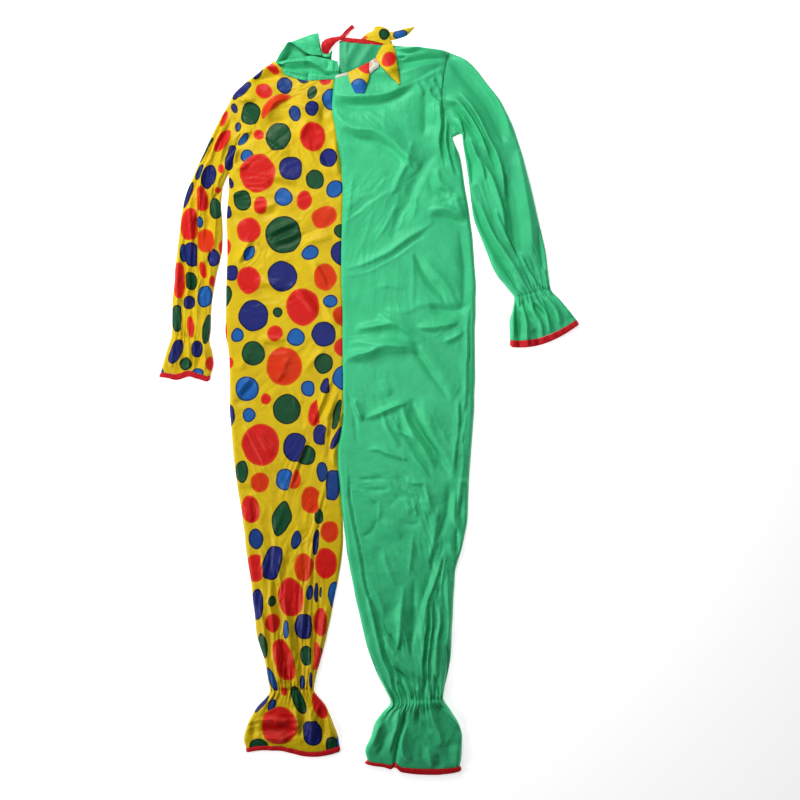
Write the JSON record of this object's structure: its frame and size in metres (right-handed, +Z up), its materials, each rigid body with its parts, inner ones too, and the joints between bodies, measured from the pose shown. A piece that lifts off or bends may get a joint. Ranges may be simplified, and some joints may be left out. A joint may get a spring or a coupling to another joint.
{
  "type": "clown jumpsuit",
  "caption": "One-piece clown costume laid flat on its back: dotted half and plain green half, gathered wrists and ankles, ruffle and pointed collar.",
  "frame": {"origin": "middle of the underside of the garment's box, on the surface that it lies on", "axes": "+Y from the ankles to the neck, +X towards the plain green half, +Z up from the surface through the front"},
  "size_m": [0.906, 1.6134, 0.0209],
  "materials": {
    "dotted_satin": "yellow polyester satin with printed dots in red, navy, blue and dark green",
    "green_satin": "plain green polyester satin, slight sheen",
    "red_binding": "folded satin bias tape",
    "dotted_reverse": "pale reverse of the printed satin, the print showing through faintly"
  },
  "bodies": {
    "root": {"front_dotted": "dotted_satin", "front_green": "green_satin", "back_dotted": "dotted_satin", "back_green": "green_satin", "sleeve_dotted": "dotted_satin", "sleeve_green": "green_satin", "cuff_binding_dotted": "red_binding", "cuff_binding_green": "red_binding", "ankle_binding_dotted": "red_binding", "ankle_binding_green": "red_binding", "ruffle": "green_satin", "collar_point_1": "dotted_satin", "collar_point_2": "dotted_satin", "collar_point_3": "dotted_satin", "collar_point_4": "dotted_satin", "collar_turnback": "dotted_reverse", "collar_band": "dotted_reverse", "back_neck_binding": "red_binding", "tie_left": "red_binding", "tie_right": "red_binding"}
  },
  "joints": []
}
